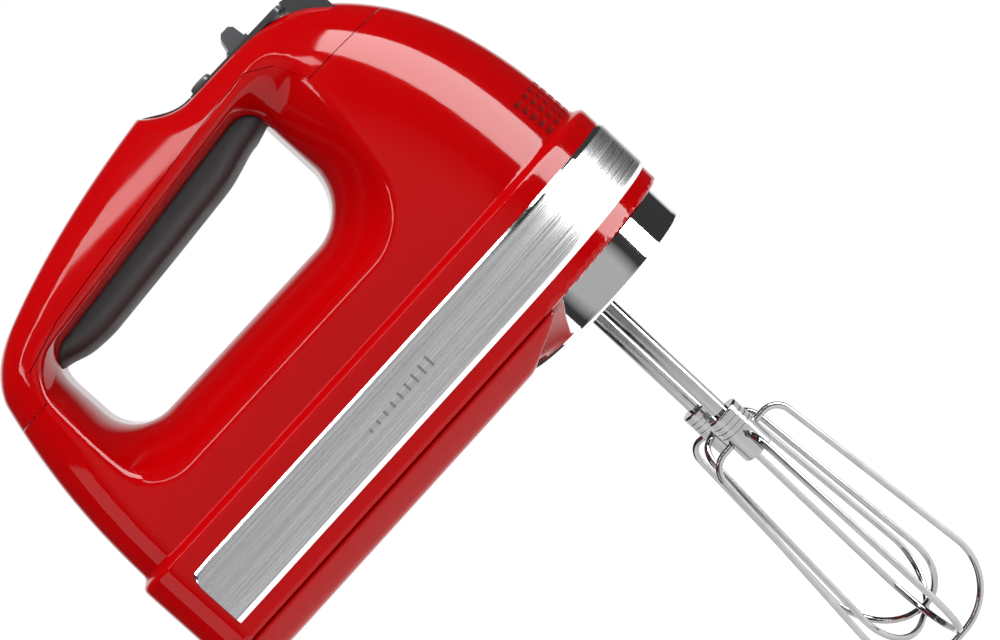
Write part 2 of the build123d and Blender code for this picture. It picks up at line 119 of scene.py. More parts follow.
# Underside tray: foot height, foot outline (rear, nose, half width), how far it widens and
# over what height; then its front end, an S-curve: x, reach, middle height, steepness.
TRAY_LOW, TRAY_FOOT, TRAY_FLARE, TRAY_RISE = 3.2, (-156.0, 38.0, 38.5), (5.0, 4.4, 5.3), 9.8
SWEEP_X, SWEEP_REACH, SWEEP_Z, SWEEP_HEIGHT = -23.0, 11.0, 8.0, 4.5

# Grids that the curved meshes are taken from: low corner, high corner, cell.
CASING_GRID = ((-162, -45, 13), (44, 45, 148), 1.1)
LOWER_HOLLOW_GRID = ((-160, -43, 15), (42, 43, 130), 2.6)
TOP_HOLLOW_GRID = ((-153, -32, 106), (28, 32, 146), 2.0)
TRAY_GRID = ((-162, -45, 3), (0, 45, 14), 0.9)
GRIP_GRID = ((-132, -15, 105), (-29, 15, 126), 0.8)

# Band, and its profile: out from the skirt, distance from the edge, lower (1) or upper (-1) edge.
BAND_LOW, BAND_HIGH, BAND_REAR_X, BAND_END_ROUND = 19.0, 39.4, -147.5, 3.0
BAND_PROFILE = (
    (-0.8, 0, 1), (0.15, 0, 1), (0.55, 0.7, 1), (0.8, 1.6, 1), (0.8, 5.0, 1),
    (0.8, 5.0, -1), (0.8, 1.6, -1), (0.55, 0.7, -1), (0.15, 0, -1), (-0.8, 0, -1),
)
# The faces round that profile that are brushed; the others are polished.
BRUSHED_FACES = (3, 4, 5)
# Collar: middle, half length, half width, top and points round it.
COLLAR_STEPS = 128
COLLAR_X, COLLAR_A, COLLAR_B, COLLAR_HIGH = 4.0, 36.0, 37.5, 13.0

# Vents: first height, step and number of rows; then each slot's half width and half height,
# and where its cutter starts and ends.
NOSE_VENTS, NOSE_SLOT, NOSE_CUT = (49.8, 3.15, 5), (1.45, 1.0), (20, 60)
HEEL_VENTS, HEEL_SLOT, HEEL_CUT = (53.0, 3.2, 8), (17, 0.9), (-175, -150)
NOSE_SLOT_Y = range(-24, 25, 4)
# The black sheet behind the nose vents, painted shade for what is seen through the slots: its heights,
# and its two sides' distances from the wall.
SHADE_SHEET_Z, SHADE_SHEET_INSETS = (46.0, 66.0), (0.3, 0.9)

# Clearance round the control panel, the bottom of the well below it, and a height above all.
PANEL_GAP, WELL_LOW, OVER_TOP = 0.3, 118, 160
# Planes well outside the body, for the tool that cuts the seam.
FAR_REAR, FAR_NOSE, FAR_TOP, FAR_SIDE = -200.0, 90.0, 200.0, 70.0

# The control panel's tail: half width, how far its end is rounded, and its two sides' heights.
TAIL_HALF, TAIL_ROUND, TAIL_LIFTS = 11.5, 5.0, (-0.6, 0.55)

# The nine ticks on the band.
TICKS, TICK_X, TICK_STEP, TICK_WIDTH = 9, -80.0, 3.4, 0.8
TICK_LOW, TICK_TOP, TICK_RISE = 28.4, 29.6, 0.35

# Eject spring, and how far the button and the beaters travel.
SPRING_X, SPRING_LOW, SPRING_HIGH = 5.0, 58.5, 74.3
SPRING_R, SPRING_WIRE_R, SPRING_TURNS = 4.2, 0.5, 4.9
SPRING_STEPS, SPRING_SIDES = 240, 12
EJECT_TRAVEL = 6.0
BEATER_PULL = 50.0

# Light levels of the backdrop, and of what is mirrored in front and at the sides.
BACKDROP, FRONT_LIGHT, SIDE_LIGHT = 1.0, 0.46, 0.04
# The fill lamp: strength, and its spread and turns in degrees.
FILL, FILL_SPREAD, FILL_TURNS = 3.4, 70, (24, 0, 8)
# The other lamps: name, place, width and height in metres, watts, leaves glints, fills.
LAMPS = (
    ("nose_softbox", (640, -300, 240), 0.31, 0.95, 13.0, True, False),
    ("nose_fill", (640, -300, 330), 0.5, 0.5, 2.5, False, True),
    ("top_fill", (-100, -330, 800), 0.9, 0.6, 3.5, False, True),
    ("top_strip", (-100, -500, 760), 1.2, 0.07, 2.6, True, False),
    ("heel_softbox", (-900, -450, 150), 0.5, 0.6, 1.2, True, True),
)
LAMP_AIM = (-60, 0, 60)
FLOOR_SIZE, FLOOR_GAP = 1200.0, 5

# Camera, in the drawing's millimetres and degrees.
CAMERA_PLACE = (-78.8, -625.3, 74.3)
CAMERA_TURN, CAMERA_RISE, CAMERA_ROLL = -4.92, 5.05, 47.23
CAMERA_LENS = 69.74


# ------------------------------------------------------------------ fields
# A field is about the distance from a surface, negative inside.  A factor below one at the
# end of a line brings the value on a leaning side back to about the distance.
def round_and(a, b, radius):
    """Intersection of two solids with a round edge."""
    corner = np.hypot(np.maximum(radius + a, 0), np.maximum(radius + b, 0))
    return np.minimum(-radius, np.maximum(a, b)) + corner


def round_or(a, b, radius):
    """Union of two solids with a fillet where they meet."""
    corner = np.hypot(np.maximum(radius - a, 0), np.maximum(radius - b, 0))
    return np.maximum(radius, np.minimum(a, b)) - corner


def plan(x, y, rear, nose, half):
    """Distance from an outline with an elliptical nose, straight sides and a round-cornered heel."""
    across = np.abs(y)
    reach = nose - WIDEST_X
    px, py = np.maximum(x - WIDEST_X, 0) / reach, across / half
    k0 = np.hypot(px, py)
    k1 = np.maximum(np.hypot(px / reach, py / half), 1e-6)
    front = k0 * (k0 - 1) / k1
    q = across - (half - HEEL_CORNER)
    p = rear + HEEL_CORNER - x
    back = np.hypot(np.maximum(q, 0), np.maximum(p, 0)) + np.minimum(np.maximum(p, q), 0) - HEEL_CORNER
    return np.where(x > WIDEST_X, front, back)


UPPER_FITS = [np.polyfit(UPPER[:, 0], UPPER[:, column], 4) for column in (1, 2, 3)]
TOP_FIT = np.polyfit(TOP_X, TOP_Z, 3)


def upper_sides(x, y, z, inset=0.0):
    """Distance from the upper body's leaning sides."""
    height = np.clip(z, 30, 152)
    rear, nose, half = (np.polyval(fit, height) for fit in UPPER_FITS)
    return plan(x, y, rear + inset, nose - inset, half - inset) * 0.93


def top_height(x):
    """Height of the body's top line."""
    back = np.polyval(TOP_FIT, np.minimum(x, PEAK_X))
    step = np.clip((x - PEAK_X) / (PANEL_REAR_X - PEAK_X), 0, 1)
    peak = np.polyval(TOP_FIT, PEAK_X)
    ramp = PANEL_Z + (peak - PANEL_Z) * (1 - step) ** 1.9
    return np.where(x < PEAK_X, back, ramp)


def opening(x, z, rear, front, low, tops, high_corner=HIGH_ROUND, lean=0.0):
    """Distance from a four-sided opening with round corners, in side view."""
    slope = (tops[1] - tops[0]) / (front - rear)
    top = tops[0] + slope * (x - rear)
    low_corner = np.interp(x, (rear, front), LOW_ROUNDS)
    share = np.interp(z, (low + 15, low + 32), (1.0, 0.0))
    corner = share * low_corner + (1 - share) * high_corner
    front_edge = front + lean * (z - low - 15)
    along = np.maximum(rear - x, x - front_edge)
    upright = np.maximum(low - z, (z - top) * 0.99)
    return round_and(along, upright, corner)


def handle_hole(x, y, z):
    """The hand opening, flaring out to the ring on both sides."""
    inner = opening(x, z, OPEN_REAR_X, OPEN_FRONT_X, OPEN_LOW_Z, OPEN_TOP_Z)
    outer = opening(x, z, RING_REAR_X, RING_FRONT_X, RING_LOW_Z, RING_TOP_Z,
                    RING_HIGH_ROUND, RING_LEAN)
    half = np.polyval(UPPER_FITS[2], np.clip(z, 60, 132))
    share = np.clip((np.abs(y) - FLARE_FROM) / (half - FLARE_FROM - 1), 0, 1.2) ** FLARE_POWER
    return (inner * (1 - share) + outer * share) * 0.9


def body(x, y, z, inset=0.0):
    """The whole body above the underside tray, before it is split into casings."""
    sides = upper_sides(x, y, z, inset)
    top = (z - top_height(x) + inset) * 0.97
    lifted = round_and(sides, top, TOP_ROUND)
    skirt = plan(x, y, SKIRT[0] + inset, SKIRT[1] - inset, SKIRT[2] - inset)
    skirt = round_and(skirt, z - SKIRT_HIGH + inset, SKIRT_ROUND)
    whole = round_or(lifted, skirt, SKIRT_FILLET)
    return round_and(whole, -handle_hole(x, y, z) + inset, HOLE_ROUND)


def above_seam(x, z):
    """Distance above the seam between the casings."""
    line = np.interp(x, SEAM_X, SEAM_Z)
    slope = (np.interp(x + 0.5, SEAM_X, SEAM_Z) - np.interp(x - 0.5, SEAM_X, SEAM_Z))
    return (z - line) / np.sqrt(1 + slope ** 2)


def casing_field(x, y, z):
    """Both casings in one, from the lip under the band upwards."""
    return round_and(body(x, y, z), SKIRT_LOW - z, 1.0)


def lower_hollow(x, y, z):
    """Space inside the lower housing."""
    cut = np.maximum(body(x, y, z, WALL), above_seam(x, z) + 2.0)
    return np.maximum(cut, SKIRT_LOW + 2.0 - z)


def top_hollow(x, y, z):
    """Space inside the top cover."""
    return np.maximum(body(x, y, z, WALL), 2.0 - above_seam(x, z))


def base_field(x, y, z):
    """Underside tray, open under the nose for the collar."""
    rise = np.clip((z - TRAY_LOW) / TRAY_RISE, -0.2, 1.0)
    rise = np.sin(rise * math.pi / 2)
    rear, nose, half = TRAY_FOOT
    back, front, out = TRAY_FLARE
    sides = plan(x, y, rear - back * rise, nose + front * rise, half + out * rise) * 0.88
    tray = round_and(sides, TRAY_LOW - z, 3.0)
    tray = round_and(tray, z - SKIRT_LOW + 0.1, 0.8)
    sweep = x - SWEEP_X - SWEEP_REACH * np.tanh((z - SWEEP_Z) / SWEEP_HEIGHT)
    tray = round_and(tray, sweep * 0.38, 1.2)
    oval = np.hypot((x - COLLAR_X) / COLLAR_A, y / COLLAR_B)
    return np.maximum(tray, (1 - oval) * COLLAR_A + 0.5)


def grip_field(x, y, z):
    """Soft grip under the handle."""
    low = sum(np.interp(x + shift, GRIP_X, GRIP_LOW) for shift in (-3, -1.5, 0, 1.5, 3)) / 5
    crown = low + GRIP_CROWN * (y / 14.0) ** 2
    hole = opening(x, z, OPEN_REAR_X, OPEN_FRONT_X, OPEN_LOW_Z, OPEN_TOP_Z)
    slab = round_and(np.abs(y) - GRIP_HALF, crown - z, GRIP_ROUND)
    return round_and(slab, hole - 0.6, 1.2)


# ------------------------------------------------------------------ meshes
def to_frame(points):
    """Drawing millimetres to frame metres."""
    return (np.asarray(points) - GRIP) * MM


def add_piece(name, points, faces, material, node=None, body_name="housing", smooth=True):
    """A mesh object in the frame, riding on its body."""
    mesh = bpy.data.meshes.new(name)
    mesh.from_pydata(to_frame(points).tolist(), [], [tuple(face) for face in faces])
    mesh.validate()
    if smooth:
        mesh.shade_smooth()
    mesh.materials.append(material)
    piece = bpy.data.objects.new(name, mesh)
    bpy.context.scene.collection.objects.link(piece)
    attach(piece, body_name)
    if node:
        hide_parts(*([node] if isinstance(node, str) else node))
    return piece


def shifted(grid, place, shape):
    """The part of a grid that starts at one corner of its first cell."""
    i, j, k = place
    return grid[i:i + shape[0], j:j + shape[1], k:k + shape[2]]


def grid_surface(field, low, high, step):
    """Quads on the zero surface of a field, each point moved onto the surface."""
    axes = [np.arange(a - 2 * step, b + 3 * step, step) for a, b in zip(low, high)]
    values = field(*np.meshgrid(*axes, indexing="ij"))
    inside = values < 0
    shape = tuple(n - 1 for n in values.shape)
    corners = [(i, j, k) for i in (0, 1) for j in (0, 1) for k in (0, 1)]
    count = sum(shifted(inside, place, shape).astype(np.int8) for place in corners)
    cells = np.argwhere((count > 0) & (count < 8))
    number = np.full(shape, -1)
    number[tuple(cells.T)] = np.arange(len(cells))
    total = np.zeros((len(cells), 3))
    hits = np.zeros(len(cells))
    for a in corners:
        for axis in range(3):
            if a[axis]:
                continue
            b = tuple(v + (n == axis) for n, v in enumerate(a))
            fa = values[tuple((cells + a).T)]
            fb = values[tuple((cells + b).T)]
            crosses = (fa < 0) != (fb < 0)
            share = np.where(crosses, fa / np.where(crosses, fa - fb, 1), 0)
            point = np.array(a) + np.outer(share, np.array(b) - np.array(a))
            total[crosses] += point[crosses]
            hits[crosses] += 1
    points = np.array([axis[0] for axis in axes]) + (cells + total / hits[:, None]) * step
    points = settle(field, points, step)
    return points, cell_faces(inside, number)


def settle(field, points, step, rounds=3):
    """Moves points onto the field's zero surface along its slope."""
    for _ in range(rounds):
        value = field(*points.T)
        slope = field_slope(field, points)
        size = np.maximum((slope ** 2).sum(1), 0.05)
        move = -value[:, None] * slope / size[:, None]
        points = points + np.clip(move, -0.6 * step, 0.6 * step)
    return points


def field_slope(field, points, reach=0.15):
    """Central differences of a field at some points."""
    parts = []
    for axis in range(3):
        shift = np.zeros(3)
        shift[axis] = reach
        parts.append((field(*(points + shift).T) - field(*(points - shift).T)) / (2 * reach))
    return np.stack(parts, 1)


def cell_faces(inside, number):
    """Quads round every grid edge that crosses the surface."""
    faces = []
    for axis in range(3):
        first = [slice(None)] * 3
        second = [slice(None)] * 3
        first[axis], second[axis] = slice(None, -1), slice(1, None)
        starts = inside[tuple(first)]
        ends = inside[tuple(second)]
        others = [n for n in range(3) if n != axis]
        for outward in (False, True):
            edges = np.argwhere((starts & ~ends) if outward else (~starts & ends))
            ring = []
            for u, v in ((0, 0), (1, 0), (1, 1), (0, 1)):
                cell = edges.copy()
                cell[:, others[0]] -= u
                cell[:, others[1]] -= v
                ring.append(number[tuple(cell.T)])
            quads = np.stack(ring, 1)
            flip = outward == (axis != 1)
            faces.append(quads if flip else quads[:, ::-1])
    return np.concatenate(faces)


def box_mesh(boxes):
    """Boxes, given by their corners in drawing millimetres, in one mesh."""
    tool = bmesh.new()
    for low, high in boxes:
        made = bmesh.ops.create_cube(tool, size=1.0)["verts"]
        low, high = to_frame(low), to_frame(high)
        for vert in made:
            vert.co = Vector([(a + b) / 2 + c * (b - a) for a, b, c in zip(low, high, vert.co)])
    mesh = bpy.data.meshes.new("tool")
    tool.to_mesh(mesh)
    tool.free()
    return mesh


def seam_mesh(offset):
    """Everything above the seam, moved up by offset, as a prism across the body."""
    line = [(FAR_REAR, SEAM_Z[0]), *zip(SEAM_X, SEAM_Z), (FAR_NOSE, SEAM_Z[-1])]
    rim = [(x, z + offset) for x, z in line] + [(FAR_NOSE, FAR_TOP), (FAR_REAR, FAR_TOP)]
    points = [(x, y, z) for y in (-FAR_SIDE, FAR_SIDE) for x, z in rim]
    count = len(rim)
    faces = [tuple(range(count)), tuple(reversed(range(count, 2 * count)))]
    for i in range(count):
        j = (i + 1) % count
        faces.append((j, i, i + count, j + count))
    mesh = bpy.data.meshes.new("tool")
    mesh.from_pydata(to_frame(points).tolist(), [], faces)
    mesh.update()
    return mesh


def carve(piece, mesh, operation="DIFFERENCE"):
    """Cuts a piece with a tool mesh, and keeps its smooth shading off the cut's edges."""
    mesh.materials.append(piece.data.materials[0])
    cutter = bpy.data.objects.new("tool", mesh)
    bpy.context.scene.collection.objects.link(cutter)
    step = piece.modifiers.new("cut", "BOOLEAN")
    step.operation = operation
    step.solver = "EXACT"
    step.object = cutter
    graph = bpy.context.evaluated_depsgraph_get()
    done = bpy.data.meshes.new_from_object(piece.evaluated_get(graph))
    piece.modifiers.clear()
    piece.data = done
    bpy.data.objects.remove(cutter)
    piece.data.shade_smooth()
    piece.data.set_sharp_from_angle(angle=math.radians(SHARP_EDGE))


# ------------------------------------------------------------------ materials
def material(name, colour, rough, metal=0.0, coat=0.0, coat_rough=0.03):
    """A principled material whose nodes the caller adds to."""
    made = bpy.data.materials.new(name)
    made.use_nodes = True
    shader = made.node_tree.nodes["Principled BSDF"]
    shader.inputs["Base Color"].default_value = (*colour, 1)
    shader.inputs["Roughness"].default_value = rough
    shader.inputs["Metallic"].default_value = metal
    shader.inputs["Coat Weight"].default_value = coat
    shader.inputs["Coat Roughness"].default_value = coat_rough
    return made, made.node_tree, shader


def noise(tree, scale, detail=3.0, stretch=(1, 1, 1)):
    """Noise in object space, stretched along the axes."""
    place = tree.nodes.new("ShaderNodeTexCoord")
    mapping = tree.nodes.new("ShaderNodeMapping")
    mapping.inputs["Scale"].default_value = stretch
    made = tree.nodes.new("ShaderNodeTexNoise")
    made.inputs["Scale"].default_value = scale
    made.inputs["Detail"].default_value = detail
    tree.links.new(place.outputs["Object"], mapping.inputs["Vector"])
    tree.links.new(mapping.outputs["Vector"], made.inputs["Vector"])
    return made.outputs["Fac"]


def spread(tree, source, low, high):
    """Maps the middle of a noise's values to a range."""
    made = tree.nodes.new("ShaderNodeMapRange")
    made.inputs["From Min"].default_value = 0.3
    made.inputs["From Max"].default_value = 0.7
    made.inputs["To Min"].default_value = low
    made.inputs["To Max"].default_value = high
    tree.links.new(source, made.inputs["Value"])
    return made.outputs["Result"]


def tint(tree, source, dark, light):
    """Mixes two colours by a value."""
    made = tree.nodes.new("ShaderNodeMix")
    made.data_type = "RGBA"
    made.inputs["A"].default_value = (*dark, 1)
    made.inputs["B"].default_value = (*light, 1)
    tree.links.new(source, made.inputs["Factor"])
    return made.outputs["Result"]


def bump(tree, shader, source, strength, distance):
    """Bumps a shader's normal."""
    made = tree.nodes.new("ShaderNodeBump")
    made.inputs["Strength"].default_value = strength
    made.inputs["Distance"].default_value = distance
    tree.links.new(source, made.inputs["Height"])
    tree.links.new(made.outputs["Normal"], shader.inputs["Normal"])


def plastic(name, dark, light, rough, grain=0.0, grain_scale=2500.0, coat=0.0, shine=0.5):
    """Moulded plastic: slight colour and gloss variation, and a grain if it has one."""
    made, tree, shader = material(name, light, rough, coat=coat)
    shader.inputs["Specular IOR Level"].default_value = shine
    slow = noise(tree, 14.0)
    tree.links.new(tint(tree, slow, dark, light), shader.inputs["Base Color"])
    gloss = spread(tree, noise(tree, 60.0), rough * 0.85, rough * 1.2)
    tree.links.new(gloss, shader.inputs["Roughness"])
    if grain:
        bump(tree, shader, noise(tree, grain_scale, 2.0), grain, 0.0002)
    return made


def metal(name, dark, light, rough_low, rough_high, stretch=(1, 1, 1), scale=400.0, relief=0.0):
    """Metal with streaks or mottling in its colour and gloss."""
    made, tree, shader = material(name, light, rough_low, metal=1.0)
    streaks = noise(tree, scale, 4.0, stretch)
    tree.links.new(tint(tree, streaks, dark, light), shader.inputs["Base Color"])
    tree.links.new(spread(tree, streaks, rough_low, rough_high), shader.inputs["Roughness"])
    if relief:
        bump(tree, shader, streaks, relief, 0.0001)
    return made


RED = plastic("red_gloss", (0.31, 0.0002, 0.0008), (0.35, 0.0004, 0.0012), 0.06, shine=0.25)
BRUSHED = metal("brushed_band", (0.52, 0.52, 0.53), (0.78, 0.78, 0.79), 0.20, 0.32,
                (0.03, 0.03, 9.0), 330.0, 0.12)
POLISHED = metal("polished_edge", (0.80, 0.80, 0.81), (0.90, 0.90, 0.91), 0.05, 0.10)
CHROME = metal("chrome", (0.80, 0.80, 0.81), (0.88, 0.88, 0.89), 0.025, 0.05, scale=60.0)
WIRE = metal("bright_wire", (0.30, 0.30, 0.305), (0.42, 0.42, 0.425), 0.06, 0.12, scale=200.0)
STEEL = metal("turned_steel", (0.45, 0.45, 0.46), (0.62, 0.62, 0.63), 0.25, 0.4, (6, 1, 1), 300.0)
ZINC = metal("cast_zinc", (0.38, 0.38, 0.39), (0.5, 0.5, 0.51), 0.45, 0.6, scale=500.0, relief=0.3)
BRONZE = metal("sintered_bronze", (0.45, 0.28, 0.12), (0.6, 0.4, 0.18), 0.4, 0.55, scale=800.0)
COPPER = metal("enamelled_copper", (0.45, 0.16, 0.07), (0.66, 0.28, 0.12), 0.25, 0.35, (1, 9, 9), 300.0)
IRON = metal("laminations", (0.15, 0.15, 0.16), (0.27, 0.27, 0.28), 0.4, 0.6, (40, 1, 1), 90.0)
RUBBER = plastic("soft_grip", (0.020, 0.020, 0.021), (0.029, 0.029, 0.031), 0.5, grain=0.35)
DARK = plastic("dark_plastic", (0.022, 0.022, 0.024), (0.034, 0.034, 0.037), 0.33, grain=0.15)
BUTTON = plastic("button_plastic", (0.06, 0.06, 0.065), (0.09, 0.09, 0.095), 0.3, grain=0.1)
BLACK = plastic("black_plastic", (0.012, 0.012, 0.012), (0.02, 0.02, 0.02), 0.5, grain=0.3)
NYLON = plastic("nylon", (0.74, 0.72, 0.64), (0.82, 0.80, 0.73), 0.4, grain=0.1)
BOARD = plastic("circuit_board", (0.006, 0.07, 0.02), (0.01, 0.1, 0.03), 0.35, grain=0.2)
LENS = plastic("display_lens", (0.006, 0.006, 0.008), (0.01, 0.01, 0.013), 0.06, coat=1.0)
MARK = plastic("grey_print", (0.10, 0.10, 0.105), (0.14, 0.14, 0.145), 0.45)


# ------------------------------------------------------------------ casings
def with_hollow(outer, hollow):
    """An outer surface and an inner one, turned inwards, as one set of points and faces."""
    points, faces = outer
    inner, inner_faces = hollow
    return np.concatenate((points, inner)), np.concatenate((faces, inner_faces[:, ::-1] + len(points)))


def vent_heights(first, step, rows):
    """Heights of the rows of a set of vents."""
    return [first + step * row for row in range(rows)]


def vent_boxes():
    """Short slots through the nose and long ones through the heel."""
    boxes = []
    (across, up), (start, end) = NOSE_SLOT, NOSE_CUT
    for z in vent_heights(*NOSE_VENTS):
        boxes += [((start, y - across, z - up), (end, y + across, z + up)) for y in NOSE_SLOT_Y]
    (across, up), (start, end) = HEEL_SLOT, HEEL_CUT
    for z in vent_heights(*HEEL_VENTS):
        boxes.append(((start, -across, z - up), (end, across, z + up)))
    return boxes


def node_corners(node):
    """A node's box in drawing millimetres."""
    low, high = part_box(node)
    return np.array(low) / MM + GRIP, np.array(high) / MM + GRIP


def make_lower_housing(outer):
    """Lower housing with its vents."""
    hollow = grid_surface(lower_hollow, *LOWER_HOLLOW_GRID)
    lower = add_piece("lower_housing_shell", *with_hollow(outer, hollow), RED, "lower_housing")
    carve(lower, seam_mesh(-SEAM_GAP / 2))
    carve(lower, box_mesh(vent_boxes()))


def make_top_housing(outer):
    """Top cover with the control panel's pocket, the eject button's notch and the well below."""
    hollow = grid_surface(top_hollow, *TOP_HOLLOW_GRID)
    top = add_piece("top_housing_cover", *with_hollow(outer, hollow), RED, "top_housing")
    carve(top, seam_mesh(SEAM_GAP / 2), "INTERSECT")
    low, high = node_corners("control_panel")
    knob_low, knob_high = node_corners("eject_button")
    gap = PANEL_GAP
    pocket = (low - (gap, gap, 0.2), (high[0] + 1.6, high[1] + gap, OVER_TOP))
    notch = ((high[0] - 2, knob_low[1] - gap, WELL_LOW),
             (knob_high[0] + gap, knob_high[1] + gap, OVER_TOP))
    well = ((low[0] + 2, low[1] + 2, WELL_LOW), (high[0] - 1, high[1] - 2, 150))
    for hole in (pocket, notch, well):
        carve(top, box_mesh([hole]))


def make_casings():
    """Both housings, cut from one outer surface, and the underside tray."""
    outer = grid_surface(casing_field, *CASING_GRID)
    make_lower_housing(outer)
    make_top_housing(outer)
    surface = grid_surface(base_field, *TRAY_GRID)
    tray = add_piece("underside_tray", *surface, RED, "base_plate")


def make_vent_shade_sheet():
    """Black sheet behind the nose vents that paints the shade seen through the slots, a thin strip that
    follows the nose inside the wall.
    """
    turns = np.linspace(-math.pi / 2, math.pi / 2, 25)[5:-5]
    verts = []
    for z in SHADE_SHEET_Z:
        nose, half = (np.polyval(fit, z) for fit in UPPER_FITS[1:])
        for inset in (WALL + behind for behind in SHADE_SHEET_INSETS):
            reach, across = nose - WIDEST_X - inset, half - inset
            verts += [(WIDEST_X + reach * math.cos(t), across * math.sin(t), z) for t in turns]
    count = len(turns)
    layers = (0, 1, 3, 2)
    faces = []
    for a, b in zip(layers, layers[1:] + layers[:1]):
        a, b = a * count, b * count
        faces += [(a + i, a + i + 1, b + i + 1, b + i) for i in range(count - 1)]
    faces += [tuple(k * count for k in reversed(layers)), tuple(k * count + count - 1 for k in layers)]
    # Painted shade: this black strip darkens what shows through the nose vents.
    add_piece("vent_shade_sheet", verts, faces, BLACK)


def make_panel_tail():
    """Dark tail of the control panel, lying down the ramp behind it."""
    xs = np.linspace(PEAK_X + 1.5, PANEL_REAR_X + 1.0, 15)
    half = TAIL_HALF - TAIL_ROUND * np.clip((xs[0] + TAIL_ROUND - xs) / TAIL_ROUND, 0, 1) ** 2
    verts = []
    for lift in TAIL_LIFTS:
        for x, y, z in zip(xs, half, top_height(xs)):
            verts += [(x, -y, z + lift), (x, y, z + lift)]
    count = 2 * len(xs)
    faces = [(1, 0, count, count + 1), (count - 2, count - 1, 2 * count - 1, 2 * count - 2)]
    for i in range(0, count - 2, 2):
        low, high = (i, i + 1, i + 3, i + 2), (i + count, i + count + 2, i + count + 3, i + count + 1)
        faces += [low, high, (i, i + 2, i + 2 + count, i + count)]
        faces.append((i + 3, i + 1, i + 1 + count, i + 3 + count))
    tail = add_piece("panel_tail", verts, faces, DARK)
    tail.data.set_sharp_from_angle(angle=math.radians(SHARP_EDGE))


def make_grip():
    """Soft grip under the handle, with its finger hook."""
    points, faces = grid_surface(grip_field, *GRIP_GRID)
    grip = add_piece("grip_pad", points, faces, RUBBER, "handle_grip")


# ------------------------------------------------------------------ band and collar
def skirt_path(start_x, grow=0.0):
    """Points and outward normals along the skirt, from the right side round the nose to the left."""
    reach, half = SKIRT[1] - WIDEST_X, SKIRT[2]
    points, normals = [], []
    corner_x = SKIRT[0] + HEEL_CORNER
    for turn in np.linspace(math.acos((corner_x - start_x) / HEEL_CORNER), math.pi / 2, 7)[:-1]:
        side = -half + HEEL_CORNER * (1 - math.sin(turn))
        points.append((corner_x - HEEL_CORNER * math.cos(turn), side))
        normals.append((-math.cos(turn), -math.sin(turn)))
    for x in np.linspace(corner_x, WIDEST_X, 24)[:-1]:
        points.append((x, -half))
        normals.append((0.0, -1.0))
    for turn in np.linspace(-math.pi / 2, 0, 60):
        points.append((WIDEST_X + reach * math.cos(turn), half * math.sin(turn)))
        normal = np.array((math.cos(turn) / reach, math.sin(turn) / half))
        normals.append(tuple(normal / np.linalg.norm(normal)))
    other = [(x, -y) for x, y in reversed(points[:-1])]
    other_normals = [(x, -y) for x, y in reversed(normals[:-1])]
    return np.array(points + other), np.array(normals + other_normals)


def make_band():
    """Steel band with a brushed face and polished bevels, its rear ends rounded at the top."""
    points, normals = skirt_path(BAND_REAR_X)
    length = np.concatenate(([0], np.cumsum(np.hypot(*np.diff(points, axis=0).T))))
    from_end = np.minimum(length, length[-1] - length)
    radius = BAND_END_ROUND
    verts = []
    for (x, y), (nx, ny), end in zip(points, normals, from_end):
        round_off = radius - math.sqrt(max(radius ** 2 - max(radius - end, 0) ** 2, 0))
        for out, drop, side in BAND_PROFILE:
            edge = BAND_LOW + drop if side > 0 else BAND_HIGH - drop - round_off
            verts.append((x + nx * out, y + ny * out, edge))
    count = len(BAND_PROFILE)
    faces = []
    for i in range(len(points) - 1):
        for j in range(count):
            k = (j + 1) % count
            faces.append((i * count + j, (i + 1) * count + j, (i + 1) * count + k, i * count + k))
    faces.append(tuple(reversed(range(count))))
    faces.append(tuple((len(points) - 1) * count + j for j in range(count)))
    band = add_piece("steel_band", verts, faces, BRUSHED, "trim_band")
    band.data.materials.append(POLISHED)
    for i, face in enumerate(band.data.polygons):
        if i % count not in BRUSHED_FACES:
            face.material_index = 1
    band.data.set_sharp_from_angle(angle=math.radians(BAND_SHARP))


BOX_FACES = ((0, 1, 3, 2), (4, 6, 7, 5), (0, 4, 5, 1), (2, 3, 7, 6), (0, 2, 6, 4), (1, 5, 7, 3))


def make_marks():
    """Nine rising ticks printed on the right side of the band."""
    bars = []
    for i in range(TICKS):
        x = TICK_X + TICK_STEP * i
        top = TICK_TOP + TICK_RISE * i
        bars.append(((x, -SKIRT[2] - 0.9, TICK_LOW), (x + TICK_WIDTH, -SKIRT[2] - 0.5, top)))
    verts, faces = [], []
    for low, high in bars:
        base = len(verts)
        verts += itertools.product(*zip(low, high))
        faces += [tuple(base + n for n in face) for face in BOX_FACES]
    add_piece("speed_marks", verts, faces, MARK, smooth=False)


def revolve(profile, centre, across, along_x, steps):
    """Closed ring from a profile of (inset, height) points round an ellipse."""
    verts, faces = [], []
    for i in range(steps):
        turn = 2 * math.pi * i / steps
        for inset, z in profile:
            verts.append((centre[0] + (along_x - inset) * math.cos(turn),
                          centre[1] + (across - inset) * math.sin(turn), z))
    count = len(profile)
    for i in range(steps):
        n = (i + 1) % steps
        for j in range(count):
            k = (j + 1) % count
            faces.append((i * count + j, n * count + j, n * count + k, i * count + k))
    return verts, faces


def make_collar():
    """Chrome collar: an upright oval wall with a rolled lower rim."""
    rim = [(1.0 - math.cos(turn), 1.0 - math.sin(turn)) for turn in np.linspace(0, math.pi, 9)]
    wall = [(2.0, 2.4), (2.0, COLLAR_HIGH), (0.3, COLLAR_HIGH), (0.3, 2.6), (0.1, 1.9)]
    verts, faces = revolve(rim + wall, (COLLAR_X, 0), COLLAR_B, COLLAR_A, COLLAR_STEPS)
    collar = add_piece("chrome_collar", verts, faces, CHROME, "bottom_collar")
    collar.data.set_sharp_from_angle(angle=math.radians(COLLAR_SHARP))


